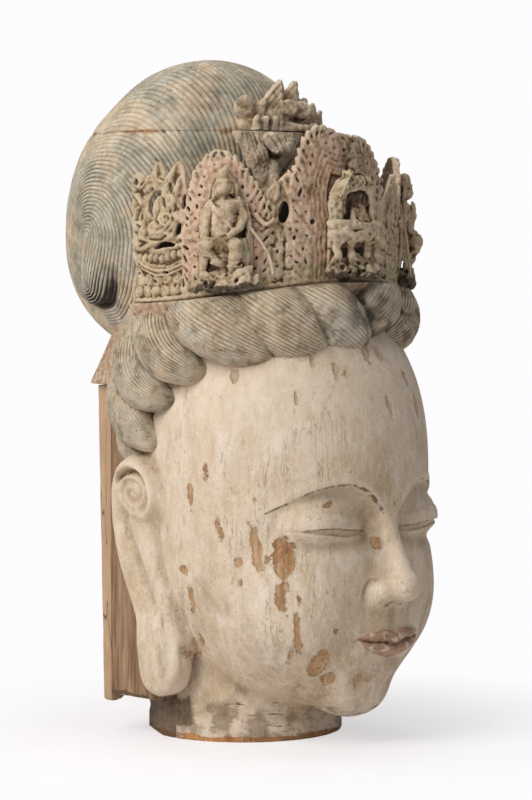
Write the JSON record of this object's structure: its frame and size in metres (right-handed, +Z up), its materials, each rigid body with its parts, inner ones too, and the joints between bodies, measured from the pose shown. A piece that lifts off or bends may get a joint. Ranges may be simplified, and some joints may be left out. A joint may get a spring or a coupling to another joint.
{
  "type": "carved wooden bodhisattva head",
  "caption": "Carved and painted wooden head with a tall coiled chignon, twisted hair roll, long ears and a pierced crown, on a flat-cut neck that it stands on.",
  "frame": {"origin": "centre of the neck's flat underside", "axes": "+Z up, the face looks along -Y, +X to the figure's left hand side"},
  "size_m": [0.2848, 0.3906, 0.6061],
  "materials": {
    "painted_gesso_wood": "matte, worn paint over gesso",
    "painted_hair_wood": "matte, worn pigment in carved grooves",
    "crown_wood": "matte, worn pigment on carved wood",
    "old_plank": "matte, bare aged wood"
  },
  "bodies": {
    "root": {"head": "painted_gesso_wood", "chignon_top": "painted_hair_wood", "crown": "crown_wood", "back_board": "old_plank"}
  },
  "joints": []
}
